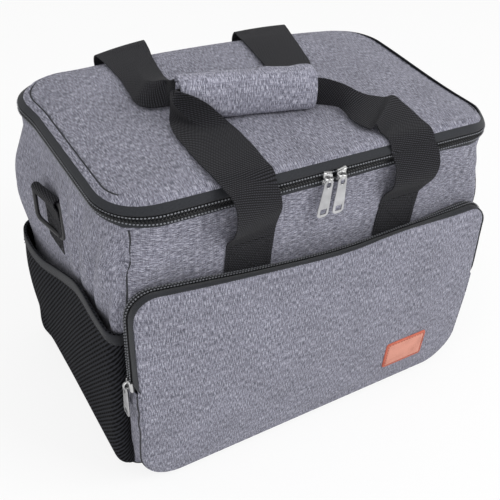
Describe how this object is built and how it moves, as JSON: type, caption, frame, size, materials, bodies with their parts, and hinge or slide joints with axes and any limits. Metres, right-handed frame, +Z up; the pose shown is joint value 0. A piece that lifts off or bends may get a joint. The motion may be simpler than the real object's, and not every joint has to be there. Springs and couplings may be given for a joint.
{
  "type": "insulated lunch bag",
  "caption": "Soft lined carrying bag with a zipped hinged lid, a zipped front pocket, mesh side pockets, end rings and webbing handles held together by a padded grip.",
  "frame": {"origin": "centre of the body's base, on its flat underside; the front pocket stands in front of it", "axes": "+X to the right seen from the front, -Y to the front, +Z up"},
  "size_m": [0.4282, 0.2829, 0.3407],
  "materials": {
    "heather_fabric": "heather grey woven polyester",
    "foam": "closed-cell foam sheet",
    "liner": "silvered film",
    "binding": "woven edge tape",
    "zip_tape": "dark grey woven tape",
    "zip_coil": "nylon coil",
    "zip_metal": "plated, soft polish",
    "webbing": "ribbed black webbing",
    "elastic_binding": "smooth black elastic",
    "mesh": "black knitted net",
    "ring_plastic": "moulded, fine satin",
    "leather_patch": "smooth salmon leather, stitched edge",
    "hook_and_loop": "hook-and-loop tape"
  },
  "bodies": {
    "bag": {"outer_front_panel": "heather_fabric", "outer_back_panel": "heather_fabric", "outer_side_panel_left": "heather_fabric", "outer_side_panel_right": "heather_fabric", "outer_base_panel": "heather_fabric", "foam_front": "foam", "foam_back": "foam", "foam_left": "foam", "foam_right": "foam", "foam_base": "foam", "liner_tub": "liner", "rim_binding": "binding", "lower_zip_tape": "zip_tape", "lower_zip_coil": "zip_coil", "lid_hinge_strip": "heather_fabric", "webbing_front_left": "webbing", "webbing_front_right": "webbing", "webbing_rear_left": "webbing", "webbing_rear_right": "webbing", "ring_tab_left": "webbing", "ring_tab_right": "webbing", "mesh_pocket_left": "mesh", "mesh_pocket_right": "mesh", "mesh_binding_left": "elastic_binding", "mesh_binding_right": "elastic_binding", "pocket_front_panel": "heather_fabric", "pocket_gusset": "heather_fabric", "pocket_inner_tape": "zip_tape", "pocket_inner_coil": "zip_coil", "leather_patch": "leather_patch"},
    "lid": {"lid_top_panel": "heather_fabric", "lid_foam": "foam", "lid_liner": "liner", "lid_binding": "binding", "upper_zip_tape": "zip_tape", "upper_zip_coil": "zip_coil"},
    "zip_slider_left": {"zip_slider_left": "zip_metal"},
    "zip_pull_left": {"zip_pull_left": "zip_metal"},
    "zip_slider_right": {"zip_slider_right": "zip_metal"},
    "zip_pull_right": {"zip_pull_right": "zip_metal"},
    "pocket_flap": {"pocket_flap_panel": "heather_fabric", "pocket_outer_tape": "zip_tape", "pocket_outer_coil": "zip_coil"},
    "pocket_slider": {"pocket_slider": "zip_metal"},
    "pocket_pull": {"pocket_pull": "zip_metal"},
    "carry_ring_left": {"carry_ring_left": "ring_plastic"},
    "carry_ring_right": {"carry_ring_right": "ring_plastic"},
    "front_handle": {"front_handle_webbing": "webbing"},
    "rear_handle": {"rear_handle_webbing": "webbing", "grip_pad": "heather_fabric", "grip_loop_strip": "hook_and_loop"},
    "grip_flap": {"grip_flap": "heather_fabric", "grip_hook_strip": "hook_and_loop"}
  },
  "joints": [
    {"name": "lid_hinge", "type": "hinge", "parent": "bag", "child": "lid", "pos_m": [0, 0.1232, 0.28515], "axis": [-1, 0, 0], "range_deg": [0, 100], "deforming": ["front_handle_webbing", "rear_handle_webbing", "lid_hinge_strip"]},
    {"name": "front_handle_swing", "type": "hinge", "parent": "bag", "child": "front_handle", "pos_m": [0, -0.1205, 0.24], "axis": [1, 0, 0], "range_deg": [0, 175]},
    {"name": "rear_handle_swing", "type": "hinge", "parent": "bag", "child": "rear_handle", "pos_m": [0, 0.1205, 0.24], "axis": [-1, 0, 0], "range_deg": [0, 175]},
    {"name": "grip_flap_hinge", "type": "hinge", "parent": "rear_handle", "child": "grip_flap", "pos_m": [-0.02381, -0.01631, 0.33605], "axis": [-0.9816, 0.1908, 0], "range_deg": [0, 150]},
    {"name": "zip_slide_left", "type": "slide", "parent": "bag", "child": "zip_slider_left", "axis": [-1, 0, 0], "range_m": [0, 0.136]},
    {"name": "zip_slide_right", "type": "slide", "parent": "bag", "child": "zip_slider_right", "axis": [1, 0, 0], "range_m": [0, 0.144]},
    {"name": "zip_pull_left_flip", "type": "hinge", "parent": "zip_slider_left", "child": "zip_pull_left", "pos_m": [-0.011, -0.1272, 0.28355], "axis": [-1, 0, 0], "range_deg": [0, 120]},
    {"name": "zip_pull_right_flip", "type": "hinge", "parent": "zip_slider_right", "child": "zip_pull_right", "pos_m": [0.003, -0.1272, 0.28355], "axis": [-1, 0, 0], "range_deg": [0, 120]},
    {"name": "pocket_flap_hinge", "type": "hinge", "parent": "bag", "child": "pocket_flap", "pos_m": [0, -0.1472, 0.12615], "axis": [1, 0, 0], "range_deg": [0, 80]},
    {"name": "pocket_zip_slide", "type": "slide", "parent": "bag", "child": "pocket_slider", "axis": [0, 0, 1], "range_m": [0, 0.046]},
    {"name": "pocket_pull_flip", "type": "hinge", "parent": "pocket_slider", "child": "pocket_pull", "pos_m": [-0.2021, -0.13335, 0.1314], "axis": [0, 1, 0], "range_deg": [0, 120]},
    {"name": "ring_left_swing", "type": "hinge", "parent": "bag", "child": "carry_ring_left", "pos_m": [-0.2012, 0.024, 0.232], "axis": [0, 1, 0], "range_deg": [0, 150]},
    {"name": "ring_right_swing", "type": "hinge", "parent": "bag", "child": "carry_ring_right", "pos_m": [0.2012, 0.024, 0.232], "axis": [0, -1, 0], "range_deg": [0, 150]}
  ],
  "couplings": [
    {"joint": "front_handle_swing", "follows": "lid_hinge", "ratio": 1.75},
    {"joint": "rear_handle_swing", "follows": "lid_hinge", "ratio": 1.75},
    {"joint": "grip_flap_hinge", "follows": "lid_hinge", "ratio": 1.5}
  ]
}
